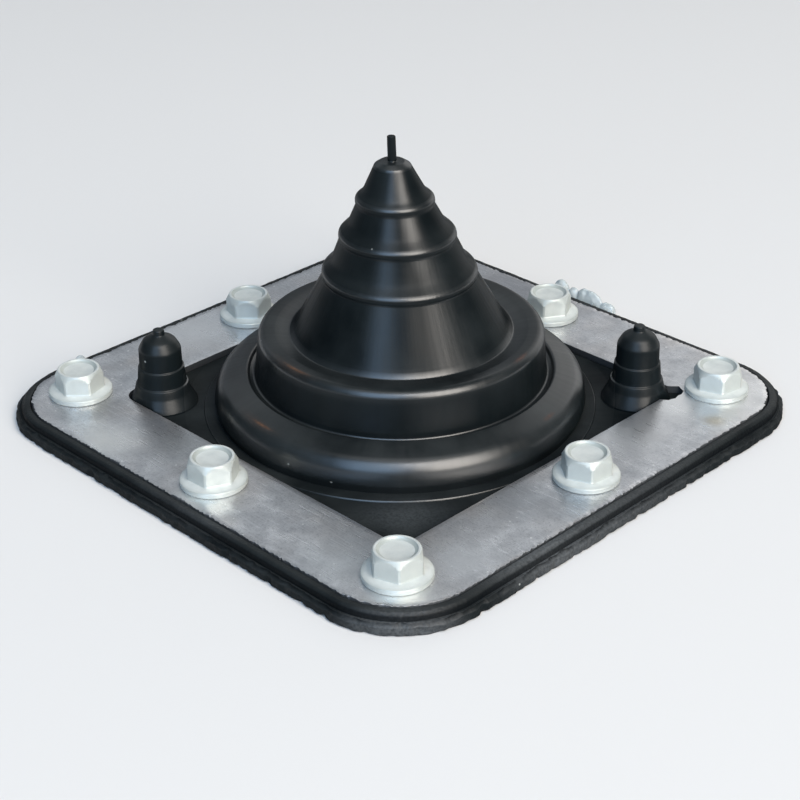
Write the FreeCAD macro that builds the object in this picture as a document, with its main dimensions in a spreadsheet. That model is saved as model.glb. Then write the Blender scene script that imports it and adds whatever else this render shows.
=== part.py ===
import FreeCAD, Part
import math
import os
import Sketcher

# Pipe flashing boot: a moulded rubber boot under a square aluminium frame, held by eight roofing screws.
# The origin is on the pipe's axis in the plane of the underside, which is the roof's surface. +Z is up.
# The sides of the base run along X and Y. All sizes are in millimetres, and all turns are in degrees.

SIZES = {
    # Stepped cone, each width and rise measured from the part above it
    "tip_radius": 3.25,
    "tip_chamfer": 0.7,
    "tip_rise": 7.35,
    "high_step_spread": 3.85,
    "high_step_rise": 6.6,
    "middle_step_spread": 3.5,
    "middle_step_rise": 7.15,
    "low_step_spread": 3.5,
    "low_step_rise": 11.45,
    "step_lip": 0.35,
    "step_chamfer": 1.15,
    "step_inset": 0.2,
    "cone_spread": 5.95,
    "cone_foot_ridge": 0.35,
    "sprue_radius": 0.8,
    "sprue_length": 4.7,
    # Drum under the cone
    "cone_foot_gap": 3.5,
    "cone_foot_dip": 0.5,
    "shoulder_round": 2.3,
    "drum_taper": 1.2,
    "drum_rise": 5.55,
    # Rolled foot of the drum
    "groove_width": 1.0,
    "groove_depth": 0.7,
    "roll_radius": 5.85,
    "roll_lift": 1.75,
    # Walls of the moulding
    "foot_wall": 2.2,
    "cone_wall": 1.6,
    "tip_wall": 2.0,
    "cable_wall": 1.1,
    # Aluminium frame
    "roll_gap": 2.35,
    "opening_corner": 3.0,
    "strip_width": 16.05,
    "frame_corner": 14.0,
    "frame_thickness": 1.4,
    "notch_reach": 1.9,
    "notch_width": 5.6,
    # Rubber base
    "sheet_thickness": 2.4,
    "seat_clearance": 0.05,
    "bead_width": 1.85,
    "bead_height": 1.25,
    "bead_chamfer": 0.6,
    "lip_width": 1.5,
    "lip_chamfer": 0.5,
    # Small cones for cables, each about its own axis
    "cable_inset": 5.4,
    "cable_tip_radius": 1.0,
    "cable_nub_height": 0.9,
    "cable_tip_rise": 2.45,
    "cable_shoulder_rise": 1.0,
    "cable_shoulder_inset": 0.9,
    "cable_neck_radius": 3.9,
    "cable_neck_rise": 4.05,
    "cable_ledge_inset": 0.3,
    "cable_ledge_spread": 0.35,
    "cable_ledge_rise": 3.35,
    "cable_flare_spread": 0.6,
    "cable_flare_rise": 3.9,
    "cable_foot_spread": 1.55,
    "cable_foot_rise": 0.3,
    # Roofing screws
    "corner_screw_inset": 2.425,
    "screw_radius": 2.7,
    "thread_depth": 0.3,
    "screw_length": 20.0,
    "point_length": 1.6,
    "hole_clearance": 0.15,
    "hexagon_width": 8.0,
    "hexagon_height": 4.6,
    "bevel_rise": 0.6,
    "dish_rim": 0.8,
    "dish_depth": 0.45,
    "flange_radius": 5.9,
    "flange_edge": 1.2,
    # Clear sealant, pressed out at the edge of the base
    "sealant_bottom": 0.2,
    "squeeze_start": -10.6,
    "squeeze_end": 5.3,
    "squeeze_end_level": 1.6,
    "squeeze_depth": 2.1,
    "dab_start": -33.3,
    "dab_length": 3.0,
    "dab_side_level": 1.8,
    "dab_bend": 1.55,
    "dab_depth": 1.5,
}

# Radii and levels that follow from the sizes, from the tip of the cone outwards and from the roof upwards
FOLLOWING = {
    "high_step_radius": "tip_radius + high_step_spread",
    "middle_step_radius": "high_step_radius + middle_step_spread",
    "low_step_radius": "middle_step_radius + low_step_spread",
    "cone_foot_radius": "low_step_radius + cone_spread",
    "ridge_radius": "cone_foot_radius + cone_foot_ridge",
    "shoulder_radius": "ridge_radius + cone_foot_gap",
    "drum_top_radius": "shoulder_radius + shoulder_round",
    "drum_foot_radius": "drum_top_radius + drum_taper",
    "roll_axis_radius": "drum_foot_radius + groove_width",
    "roll_reach": "roll_axis_radius + roll_radius",
    "opening_half": "roll_reach + roll_gap",
    "frame_half": "opening_half + strip_width",
    "bead_half": "frame_half + bead_width",
    "bead_corner": "frame_corner + bead_width",
    "base_half": "bead_half + lip_width",
    "base_corner": "bead_corner + lip_width",
    "strip_middle": "opening_half + strip_width / 2",
    "cable_reach": "opening_half - cable_inset",
    "frame_top": "sheet_thickness + frame_thickness",
    "bead_top": "sheet_thickness + bead_height",
    "roll_level": "sheet_thickness + roll_lift",
    "roll_top": "roll_level + roll_radius",
    "drum_wall_top": "roll_top + drum_rise",
    "shoulder_level": "drum_wall_top + shoulder_round",
    "cone_foot_level": "shoulder_level - cone_foot_dip",
    "low_step_level": "cone_foot_level + low_step_rise",
    "middle_step_level": "low_step_level + middle_step_rise",
    "high_step_level": "middle_step_level + high_step_rise",
    "tip_level": "high_step_level + tip_rise",
    "cable_ledge_radius": "cable_neck_radius + cable_ledge_spread",
    "cable_flare_radius": "cable_ledge_radius + cable_flare_spread",
    "cable_foot_radius": "cable_flare_radius + cable_foot_spread",
    "cable_foot_level": "sheet_thickness + cable_foot_rise",
    "cable_flare_level": "cable_foot_level + cable_flare_rise",
    "cable_ledge_level": "cable_flare_level + cable_ledge_rise",
    "cable_neck_level": "cable_ledge_level + cable_neck_rise",
    "cable_tip_level": "cable_neck_level + cable_tip_rise",
    "neck_radius": "screw_radius - thread_depth",
    "head_height": "hexagon_height + bevel_rise",
    "dish_radius": "hexagon_width / 2 - dish_rim",
    "hexagon_corner": "hexagon_width / sqrt(3)",
}

# Each screw: its kind, the signs of its place in X and Y, how far it was set by hand from that place in X
# and Y, and the turn of one corner of its hexagon from +X.
SCREWS = {
    "corner_1": ("corner", -1, -1, -0.7, 0.7, -12.7),
    "corner_2": ("corner", 1, -1, 0.0, -0.7, -41.0),
    "corner_3": ("corner", 1, 1, -0.3, -0.4, -40.0),
    "corner_4": ("corner", -1, 1, 0.0, 0.0, 10.0),
    "side_1": ("side", 0, -1, -0.4, -0.2, 2.7),
    "side_2": ("side", 1, 0, -0.1, 0.75, -38.0),
    "side_3": ("side", 0, 1, -1.2, -0.6, -3.1),
    "side_4": ("side", -1, 0, 0.2, 1.6, -16.9),
}

# Lumps of the squeezed sealant, from its right end to its left: where each one ends along the edge, the
# level there, and the radius of its top.
SEALANT_LUMPS = {
    "last": (2.0, 2.2, 1.9),
    "wide": (-4.6, 2.6, 3.8),
    "behind_head": (-7.8, 3.2, 1.75),
    "nub": (-10.6, 3.2, 1.45),
}

# How near an edge's ends are to a level when it is taken to lie there
LEVEL_MATCH = 1e-4

document = FreeCAD.newDocument("pipe_flashing_boot")
sheet = document.addObject("Spreadsheet::Sheet", "sizes")


def fill_sheet():
    """Write every size and what follows from it into the sheet, each beside its name, the cell's alias."""
    cells = dict(SIZES)
    for name, (kind, side_x, side_y, drift_x, drift_y, turn) in SCREWS.items():
        cells[name + "_drift_x"] = drift_x
        cells[name + "_drift_y"] = drift_y
        cells[name + "_turn"] = turn
    for name, (place, level, bend) in SEALANT_LUMPS.items():
        cells["lump_" + name + "_place"] = place
        cells["lump_" + name + "_level"] = level
        cells["lump_" + name + "_bend"] = bend
    cells.update({name: "=" + formula for name, formula in FOLLOWING.items()})
    for row, (alias, content) in enumerate(cells.items(), start=1):
        sheet.set("A%d" % row, alias)
        sheet.set("B%d" % row, str(content))
        sheet.setAlias("B%d" % row, alias)
    document.recompute()


def size(expression):
    """Return the number that an expression over the sheet's cells gives."""
    return float(sheet.evalExpression(expression))


def bind(target, path, expression):
    """Tie a property or constraint to an expression over the sheet's cells, each word being a cell."""
    target.setExpression(path, linked(expression))


def linked(expression):
    """Put the sheet's name before each cell's alias in an expression."""
    words = []
    word = ""
    for letter in expression + " ":
        if letter.isalnum() or letter == "_":
            word += letter
            continue
        words.append("sizes." + word if "_" in word else word)
        words.append(letter)
        word = ""
    return "".join(words).strip()


def new_body(label):
    """Add an empty body under its label."""
    body = document.addObject("PartDesign::Body", label)
    body.Label = label
    return body


def new_sketch(body, name, role, lift=None):
    """Add a sketch on one of the body's own origin planes, lifted from it by an expression."""
    sketch = body.newObject("Sketcher::SketchObject", name)
    plane = next(item for item in body.Origin.OriginFeatures if item.Role == role)
    sketch.AttachmentSupport = [(plane, "")]
    sketch.MapMode = "FlatFace"
    if lift:
        bind(sketch, "AttachmentOffset.Base.z", lift)
    return sketch


def outline(sketch, corners):
    """Draw a closed outline, counter-clockwise. Each corner is (across, up), two expressions.

    A third item bends the edge after the corner outwards, and is an expression of the bend's radius.
    """
    places = [FreeCAD.Vector(size(corner[0]), size(corner[1]), 0) for corner in corners]
    first = sketch.GeometryCount
    for index, corner in enumerate(corners):
        start = places[index]
        end = places[(index + 1) % len(places)]
        if len(corner) == 3:
            sketch.addGeometry(Part.Arc(start, bend_middle(start, end, size(corner[2])), end))
        else:
            sketch.addGeometry(Part.LineSegment(start, end))
    for index, corner in enumerate(corners):
        edge = first + index
        following = first + (index + 1) % len(corners)
        sketch.addConstraint(Sketcher.Constraint("Coincident", edge, 2, following, 1))
        place_point(sketch, edge, 1, corner[0], corner[1])
    for index, corner in enumerate(corners):
        if len(corner) == 3:
            hold_radius(sketch, first + index, corner[2])


def bend_middle(start, end, radius):
    """Return the middle point of the short arc between two points that bulges to the right."""
    chord = end - start
    rise = radius - math.sqrt(radius**2 - chord.Length**2 / 4)
    right = FreeCAD.Vector(chord.y, -chord.x, 0).normalize()
    return (start + end) / 2 + right * rise


def place_point(sketch, edge, point, across, up):
    """Hold a point of a sketch's edge at a place given by two expressions."""
    for kind, expression in (("DistanceX", across), ("DistanceY", up)):
        held = sketch.addConstraint(Sketcher.Constraint(kind, -1, 1, edge, point, size(expression)))
        bind(sketch, "Constraints[%d]" % held, expression)


def hold_radius(sketch, edge, radius):
    """Hold the radius of a sketch's arc or circle at an expression."""
    held = sketch.addConstraint(Sketcher.Constraint("Radius", edge, size(radius)))
    bind(sketch, "Constraints[%d]" % held, radius)


def circle(sketch, across, up, radius):
    """Draw a circle from three expressions."""
    centre = FreeCAD.Vector(size(across), size(up), 0)
    edge = sketch.addGeometry(Part.Circle(centre, FreeCAD.Vector(0, 0, 1), size(radius)))
    place_point(sketch, edge, 3, across, up)
    hold_radius(sketch, edge, radius)


def rounded_square(sketch, half, corner):
    """Draw a square with rounded corners about the sketch's origin, from two expressions."""
    flat = "(%s - (%s))" % (half, corner)
    outline(
        sketch,
        [
            (flat, "-(%s)" % half, corner),
            (half, "-" + flat),
            (half, flat, corner),
            (flat, half),
            ("-" + flat, half, corner),
            ("-(%s)" % half, flat),
            ("-(%s)" % half, "-" + flat, corner),
            ("-" + flat, "-(%s)" % half),
        ],
    )


def square_ring(sketch, outer, inner):
    """Draw a ring between two rounded squares, each given as (half side, corner radius)."""
    rounded_square(sketch, *outer)
    rounded_square(sketch, *inner)


def pad(body, sketch, name, height, backwards=False):
    """Raise a sketch by an expression's height, along its normal or against it."""
    feature = body.newObject("PartDesign::Pad", name)
    feature.Profile = sketch
    feature.Reversed = backwards
    bind(feature, "Length", height)
    return settled(feature)


def pocket_through(body, sketch, name):
    """Cut a sketch through the whole body, up and down."""
    feature = body.newObject("PartDesign::Pocket", name)
    feature.Profile = sketch
    feature.Type = "ThroughAll"
    feature.Midplane = True
    return settled(feature)


def pocket_up(body, sketch, name, depth):
    """Cut a sketch upwards by an expression's depth."""
    feature = body.newObject("PartDesign::Pocket", name)
    feature.Profile = sketch
    feature.Reversed = True
    bind(feature, "Length", depth)
    return settled(feature)


def turned(body, sketch, name, kind="PartDesign::Revolution"):
    """Turn a sketch once round its own upright axis, as material or as a groove."""
    feature = body.newObject(kind, name)
    feature.Profile = sketch
    feature.ReferenceAxis = (sketch, ["V_Axis"])
    feature.Angle = 360
    return settled(feature)


def paired(body, features, name, axis_sketch):
    """Repeat features once more, half a turn round a sketch's normal."""
    pattern = body.newObject("PartDesign::PolarPattern", name)
    pattern.Originals = features
    pattern.Axis = (axis_sketch, ["N_Axis"])
    pattern.Angle = 360
    pattern.Occurrences = 2
    body.Tip = pattern
    return settled(pattern)


def chamfered_top(body, feature, name, level, width):
    """Chamfer every edge of a feature that lies at a level, by an expression's width."""
    names = []
    for index, edge in enumerate(feature.Shape.Edges, start=1):
        box = edge.BoundBox
        if abs(box.ZMin - size(level)) < LEVEL_MATCH and abs(box.ZMax - size(level)) < LEVEL_MATCH:
            names.append("Edge%d" % index)
    chamfer = body.newObject("PartDesign::Chamfer", name)
    chamfer.Base = (feature, names)
    bind(chamfer, "Size", width)
    return settled(chamfer)


def settled(feature):
    """Recompute the document up to a new feature and return it."""
    document.recompute()
    return feature


# Screw places, shared by the screws and every hole


def screw_place(name):
    """Return the expressions of a screw's place in X and in Y."""
    kind, side_x, side_y = SCREWS[name][:3]
    reach = "strip_middle" if kind == "side" else "(strip_middle - corner_screw_inset)"
    return (
        "%d * %s + %s_drift_x" % (side_x, reach, name),
        "%d * %s + %s_drift_y" % (side_y, reach, name),
    )


def screw_holes(body):
    """Cut the eight clearance holes for the screws through a body."""
    sketch = new_sketch(body, "screw_holes_sketch", "XY_Plane")
    for name in SCREWS:
        across, up = screw_place(name)
        circle(sketch, across, up, "screw_radius + hole_clearance")
    return pocket_through(body, sketch, "screw_holes")


# Rubber boot


STEPS = [
    ("low_step_radius", "low_step_level"),
    ("middle_step_radius", "middle_step_level"),
    ("high_step_radius", "high_step_level"),
]


def step_outline(radius, level):
    """Return the outline of one moulded step, from its undercut up to the length above it."""
    return [
        (radius + " - step_inset", level + " - step_lip"),
        (radius, level),
        (radius + " - step_chamfer", level + " + step_chamfer"),
    ]


def step_cavity(radius, level):
    """Return the cavity's corner behind one moulded step, one wall in from it."""
    return (radius + " - cone_wall - step_inset", level + " - step_lip")


def boot_outline():
    """Return the outer outline of the roll, drum, stepped cone and sprue, in radius and level."""
    roll_under = "roll_axis_radius + sqrt(roll_radius ^ 2 - roll_lift ^ 2)"
    corners = [
        ("0", "0"),
        (roll_under, "0"),
        (roll_under, "sheet_thickness", "roll_radius"),
        ("roll_axis_radius", "roll_top"),
        ("drum_foot_radius", "roll_top - groove_depth"),
        ("drum_top_radius", "drum_wall_top", "shoulder_round"),
        ("shoulder_radius", "shoulder_level"),
        ("ridge_radius", "cone_foot_level"),
        ("cone_foot_radius", "cone_foot_level + cone_foot_ridge"),
    ]
    for radius, level in STEPS:
        corners += step_outline(radius, level)
    corners += [
        ("tip_radius", "tip_level - tip_chamfer"),
        ("tip_radius - tip_chamfer", "tip_level"),
        ("sprue_radius", "tip_level"),
        ("sprue_radius", "tip_level + sprue_length"),
        ("0", "tip_level + sprue_length"),
    ]
    return corners


def boot_cavity():
    """Return the outline of the hollow inside the boot, open through the underside."""
    corners = [
        ("0", "-sheet_thickness"),
        ("roll_reach - foot_wall", "-sheet_thickness"),
        ("roll_reach - foot_wall", "roll_level"),
        ("roll_axis_radius", "roll_top - foot_wall"),
        ("drum_foot_radius - foot_wall", "roll_top - foot_wall"),
        ("drum_top_radius - foot_wall", "drum_wall_top"),
        ("cone_foot_radius - cone_wall", "cone_foot_level - cone_wall"),
    ]
    corners += [step_cavity(radius, level) for radius, level in STEPS]
    corners += [
        ("tip_radius - cone_wall", "tip_level - tip_wall"),
        ("0", "tip_level - tip_wall"),
    ]
    return corners


def cable_outline():
    """Return the outer outline of one small cone, about its own axis."""
    return [
        ("0", "0"),
        ("cable_foot_radius", "0"),
        ("cable_foot_radius", "cable_foot_level"),
        ("cable_flare_radius", "cable_flare_level"),
        ("cable_flare_radius - cable_ledge_inset", "cable_flare_level"),
        ("cable_ledge_radius", "cable_ledge_level"),
        ("cable_ledge_radius - cable_ledge_inset", "cable_ledge_level"),
        ("cable_neck_radius", "cable_neck_level"),
        ("cable_neck_radius - cable_shoulder_inset", "cable_neck_level + cable_shoulder_rise"),
        ("cable_tip_radius", "cable_tip_level"),
        ("cable_tip_radius", "cable_tip_level + cable_nub_height"),
        ("0", "cable_tip_level + cable_nub_height"),
    ]


def cable_cavity():
    """Return the outline of the hollow in one small cone, open through the underside."""
    return [
        ("0", "-sheet_thickness"),
        ("cable_flare_radius - cable_wall", "-sheet_thickness"),
        ("cable_flare_radius - cable_wall", "cable_flare_level - cable_wall"),
        ("cable_neck_radius - cable_wall", "cable_neck_level"),
        ("0", "cable_tip_level - cable_wall"),
    ]


def cable_sketch(body, name, corners):
    """Draw a small cone's section in the upright plane through its own axis."""
    sketch = new_sketch(body, name, "XZ_Plane", "cable_reach")
    bind(sketch, "AttachmentOffset.Base.x", "-cable_reach")
    outline(sketch, corners)
    return sketch


def add_base(body):
    """Add the base sheet with its sealing lip and the bead round the frame, and return the sheet's sketch."""
    sketch = new_sketch(body, "base_sheet_sketch", "XY_Plane")
    rounded_square(sketch, "base_half", "base_corner")
    base = pad(body, sketch, "base_sheet", "sheet_thickness")
    chamfered_top(body, base, "sealing_lip", "sheet_thickness", "lip_chamfer")
    bead_sketch = new_sketch(body, "rim_bead_sketch", "XY_Plane")
    square_ring(
        bead_sketch,
        ("bead_half", "bead_corner"),
        ("frame_half + seat_clearance", "frame_corner + seat_clearance"),
    )
    bead = pad(body, bead_sketch, "rim_bead", "bead_top")
    chamfered_top(body, bead, "rim_bead_edges", "bead_top", "bead_chamfer")
    return sketch


def add_cones(body, base_sketch):
    """Add the stepped cone with its roll and drum and the pair of small cones, and hollow them all."""
    cone_sketch = new_sketch(body, "boot_outline", "XZ_Plane")
    outline(cone_sketch, boot_outline())
    turned(body, cone_sketch, "stepped_cone")
    cable = turned(body, cable_sketch(body, "cable_outline", cable_outline()), "cable_cone")
    hollow_sketch = cable_sketch(body, "cable_cavity_outline", cable_cavity())
    hollow = turned(body, hollow_sketch, "cable_cavity", "PartDesign::Groove")
    paired(body, [cable, hollow], "cable_cones", base_sketch)
    cavity_sketch = new_sketch(body, "cavity_outline", "XZ_Plane")
    outline(cavity_sketch, boot_cavity())
    turned(body, cavity_sketch, "cavity", "PartDesign::Groove")


def add_seat(body):
    """Cut the seat of the frame, which also trims the feet of the small cones."""
    sketch = new_sketch(body, "frame_seat_sketch", "XY_Plane", "sheet_thickness")
    square_ring(
        sketch,
        ("frame_half + seat_clearance", "frame_corner + seat_clearance"),
        ("opening_half - seat_clearance", "opening_corner - seat_clearance"),
    )
    pocket_up(body, sketch, "frame_seat", "cable_flare_level")


def rubber_boot():
    """Build the one-piece rubber moulding."""
    body = new_body("rubber_boot")
    base_sketch = add_base(body)
    add_cones(body, base_sketch)
    add_seat(body)
    screw_holes(body)
    return body


# Aluminium frame


def base_frame():
    """Build the flat square frame, with the ragged notch in one corner of its opening."""
    body = new_body("base_frame")
    sketch = new_sketch(body, "frame_sketch", "XY_Plane", "sheet_thickness")
    square_ring(sketch, ("frame_half", "frame_corner"), ("opening_half", "opening_corner"))
    pad(body, sketch, "frame_plate", "frame_thickness")
    notch = new_sketch(body, "notch_sketch", "XY_Plane", "sheet_thickness")
    edge = "opening_half"
    outline(
        notch,
        [
            (edge + " - opening_corner", edge + " - opening_corner"),
            (edge + " - notch_reach / 2", edge + " - notch_width"),
            (edge + " + notch_reach * 3 / 4", edge + " - notch_width * 3 / 4"),
            (edge + " + notch_reach", edge + " - notch_width / 2"),
            (edge + " + notch_reach * 3 / 4", edge + " + notch_reach / 4"),
            (edge + " - notch_reach / 4", edge + " + notch_reach * 3 / 4"),
            (edge + " - notch_width / 2", edge + " - notch_reach / 4"),
        ],
    )
    pocket_through(body, notch, "notch")
    screw_holes(body)
    return body


# Roofing screws


def screw_outline():
    """Return the outline of a screw's turned form, with the flange's underside at level 0."""
    return [
        ("0", "-screw_length"),
        ("screw_radius", "point_length - screw_length"),
        ("screw_radius", "-frame_top"),
        ("neck_radius", "-frame_top"),
        ("neck_radius", "0"),
        ("flange_radius", "0"),
        ("flange_radius", "flange_edge"),
        ("0", "flange_edge"),
    ]


def add_hexagon(body):
    """Add the hexagon on the flange, with its corners turned off and a dish in its top."""
    sketch = new_sketch(body, "hexagon_sketch", "XY_Plane")
    across = "hexagon_corner"
    half = "hexagon_width / 2"
    corners = [
        (across, "0"),
        (across + " / 2", half),
        ("-%s / 2" % across, half),
        ("-" + across, "0"),
        ("-%s / 2" % across, "-" + half),
        (across + " / 2", "-" + half),
    ]
    outline(sketch, corners)
    pad(body, sketch, "hexagon", "head_height")
    bevel_sketch = new_sketch(body, "bevel_sketch", "XZ_Plane")
    outline(
        bevel_sketch,
        [
            (across, "hexagon_height"),
            ("hexagon_width", "hexagon_height"),
            ("hexagon_width", "head_height"),
            ("hexagon_width / 2", "head_height"),
        ],
    )
    turned(body, bevel_sketch, "bevel", "PartDesign::Groove")
    dish_sketch = new_sketch(body, "dish_sketch", "XZ_Plane")
    outline(
        dish_sketch,
        [
            ("0", "head_height - dish_depth"),
            ("dish_radius", "head_height - dish_depth"),
            ("dish_radius", "head_height"),
            ("0", "head_height"),
        ],
    )
    turned(body, dish_sketch, "dish", "PartDesign::Groove")


def roofing_screw(name):
    """Build one self-drilling screw at its place, turned as it was driven home."""
    kind, number = name.split("_")
    body = new_body("%s_screw_%s" % (kind, number))
    sketch = new_sketch(body, "screw_outline", "XZ_Plane")
    outline(sketch, screw_outline())
    turned(body, sketch, "turned_form")
    add_hexagon(body)
    body.Placement.Rotation = FreeCAD.Rotation(FreeCAD.Vector(0, 0, 1), size(name + "_turn"))
    across, up = screw_place(name)
    bind(body, "Placement.Base.x", across)
    bind(body, "Placement.Base.y", up)
    bind(body, "Placement.Base.z", "frame_top")
    bind(body, "Placement.Rotation.Angle", name + "_turn")
    return body


# Clear sealant


def sealant_squeeze():
    """Build the sealant pressed out behind the rim, as a row of lumps along the base's edge."""
    body = new_body("sealant_squeeze")
    sketch = new_sketch(body, "lumps_sketch", "XZ_Plane", "-base_half")
    corners = [("squeeze_start", "sealant_bottom"), ("squeeze_end", "sealant_bottom")]
    place, level = "squeeze_end", "squeeze_end_level"
    for name in SEALANT_LUMPS:
        corners.append((place, level, "lump_%s_bend" % name))
        place, level = "lump_%s_place" % name, "lump_%s_level" % name
    corners.append((place, level))
    outline(sketch, corners)
    pad(body, sketch, "lumps", "squeeze_depth", backwards=True)
    return body


def sealant_dab():
    """Build the small dab of sealant on the base's edge beside the first corner screw."""
    body = new_body("sealant_dab")
    sketch = new_sketch(body, "dab_sketch", "YZ_Plane", "-base_half")
    end = "dab_start + dab_length"
    outline(
        sketch,
        [
            ("dab_start", "sealant_bottom"),
            (end, "sealant_bottom"),
            (end, "dab_side_level", "dab_bend"),
            ("dab_start", "dab_side_level"),
        ],
    )
    pad(body, sketch, "dab", "dab_depth", backwards=True)
    return body


# Building and writing


def check(parts):
    """Stop if any object failed to build or any sub-part has no valid solid."""
    for item in document.Objects:
        if "Invalid" in item.State or "Error" in item.State:
            raise RuntimeError("%s did not build" % item.Label)
    for part in parts:
        if part.Shape.isNull() or not part.Shape.isValid() or not part.Shape.Solids:
            raise RuntimeError("%s has no valid solid" % part.Label)


def main():
    """Build every sub-part, check it and write it to its own file."""
    fill_sheet()
    parts = [rubber_boot(), base_frame()]
    parts += [roofing_screw(name) for name in SCREWS]
    parts += [sealant_squeeze(), sealant_dab()]
    document.recompute()
    check(parts)
    os.makedirs("parts", exist_ok=True)
    for part in parts:
        part.Shape.exportStep("parts/%s.step" % part.Label)
        print("%-18s %2d solid %10.1f mm3" % (part.Label, len(part.Shape.Solids), part.Shape.Volume))


main()
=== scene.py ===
import logging
import math
from dataclasses import dataclass, field
from enum import Enum
from functools import partial
from typing import Any, Callable, Sequence

import bpy
import numpy as np
from mathutils import Matrix, Vector, noise


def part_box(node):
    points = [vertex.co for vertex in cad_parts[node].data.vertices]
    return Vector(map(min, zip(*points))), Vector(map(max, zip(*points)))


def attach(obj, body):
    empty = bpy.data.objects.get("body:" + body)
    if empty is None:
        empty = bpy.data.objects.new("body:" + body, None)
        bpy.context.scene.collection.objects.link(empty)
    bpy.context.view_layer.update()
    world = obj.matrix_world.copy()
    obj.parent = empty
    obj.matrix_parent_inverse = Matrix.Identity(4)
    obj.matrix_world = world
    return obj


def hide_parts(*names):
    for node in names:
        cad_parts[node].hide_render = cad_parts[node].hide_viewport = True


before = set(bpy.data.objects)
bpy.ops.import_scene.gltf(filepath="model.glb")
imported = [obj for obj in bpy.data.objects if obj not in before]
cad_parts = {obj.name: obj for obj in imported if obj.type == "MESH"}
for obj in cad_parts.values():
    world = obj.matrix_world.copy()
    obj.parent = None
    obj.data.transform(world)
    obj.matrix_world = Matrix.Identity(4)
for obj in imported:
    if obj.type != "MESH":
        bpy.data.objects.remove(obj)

# A pipe flashing boot: a moulded rubber boot held down by an aluminium frame and eight roofing screws, with
# a little clear sealant pressed out at its edge. Sizes are in millimetres, in the frame of the CAD model:
# the origin is on the pipe's axis in the plane of the underside, +Z is up, and the base's sides run along
# X and Y. Finished meshes are turned to metres as they become pieces.

MILLIMETRE = 0.001
BODY = "root"
# The camera looks from this turn round Z, so the cone leans and the lamps stand relative to it.
CAMERA_TURN = math.radians(45.07)
PICTURE_RIGHT = Vector((math.cos(CAMERA_TURN), math.sin(CAMERA_TURN), 0.0))
# How far from the axis a section's end lies, so that its last ring keeps a size
PINHOLE = 0.05

log = logging.getLogger("flashing_boot")
Array = np.ndarray
Mesh = tuple[Array, list[tuple[int, ...]]]
Socket = bpy.types.NodeSocket
# Adds a node to the tree that it was made for
Adder = Callable[..., Socket]


@dataclass(frozen=True)
class Corner:
    """One corner of a section: how far out it lies, its level and the radius of its fillet."""

    out: float
    level: float
    fillet: float = 0.0


class Joining(Enum):
    """How one closed mesh is worked into another."""

    ADD = "UNION"
    CUT = "DIFFERENCE"


def section(corners: Sequence[Corner], closed: bool, arc: float = 14.0, longest: float = 1.5) -> Array:
    """Round the corners of a section and divide its long runs.

    Args:
        corners: The corners in order.
        closed: Whether the last corner runs back to the first.
        arc: The largest turn between two points of a fillet, in degrees.
        longest: The longest run left undivided.

    Returns:
        The points as rows of (out, level).
    """
    points: list[Vector] = []
    count = len(corners)
    for index, corner in enumerate(corners):
        here = Vector((corner.out, corner.level))
        ends = not closed and index in (0, count - 1)
        if ends or corner.fillet <= 0.0:
            points.append(here)
            continue
        before, after = corners[index - 1], corners[(index + 1) % count]
        back = Vector((before.out, before.level)) - here
        onward = Vector((after.out, after.level)) - here
        half = back.angle(onward) / 2
        reach = min(corner.fillet / math.tan(half), back.length * 0.49, onward.length * 0.49)
        back.normalize()
        onward.normalize()
        centre = here + (back + onward).normalized() * (reach / math.cos(half))
        first, last = here + back * reach - centre, here + onward * reach - centre
        turn = first.angle(last)
        steps = max(2, math.ceil(math.degrees(turn) / arc))
        for step in range(steps + 1):
            share = step / steps
            mixed = first * math.sin((1 - share) * turn) + last * math.sin(share * turn)
            points.append(centre + mixed / math.sin(turn))
    divided: list[Vector] = []
    for index, point in enumerate(points):
        divided.append(point)
        if index == len(points) - 1 and not closed:
            break
        onward = points[(index + 1) % len(points)] - point
        steps = math.ceil(onward.length / longest)
        divided += [point + onward * (step / steps) for step in range(1, steps)]
    return np.array([tuple(point) for point in divided])


def level_ring(turns: Array, reach: Array | float, level: float) -> Array:
    """Return the points of a level ring round the axis, whose reach may change with the turn."""
    return np.stack([reach * np.cos(turns), reach * np.sin(turns), np.full_like(turns, level)], axis=1)


def skinned(rings: Array, closed: bool) -> Mesh:
    """Join rings of points with faces, the outline running anticlockwise round them.

    Args:
        rings: An array of rings, points and coordinates.
        closed: Whether the last ring joins the first. Otherwise both end rings are closed by a fan.

    Returns:
        The vertices and the faces.
    """
    count, around = rings.shape[:2]
    vertices = rings.reshape(-1, 3)
    faces: list[tuple[int, ...]] = []
    for ring in range(count if closed else count - 1):
        low, high = ring * around, (ring + 1) % count * around
        for place in range(around):
            onward = (place + 1) % around
            faces.append((low + place, low + onward, high + onward, high + place))
    if not closed:
        middle = len(vertices)
        vertices = np.vstack([vertices, rings[0].mean(axis=0), rings[-1].mean(axis=0)])
        last = (count - 1) * around
        for place in range(around):
            onward = (place + 1) % around
            faces.append((middle, onward, place))
            faces.append((middle + 1, last + place, last + onward))
    return vertices, faces


def revolved(outline: Array, around: int, closed: bool = False) -> Mesh:
    """Turn a section round the Z axis.

    Args:
        outline: The section's points, each as its radius and level.
        around: The number of points in a ring.
        closed: Whether the section closes on itself away from the axis.

    Returns:
        The vertices and the faces.
    """
    turns = np.linspace(0.0, 2 * math.pi, around, endpoint=False)
    return skinned(np.array([level_ring(turns, reach, level) for reach, level in outline]), closed)


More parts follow.
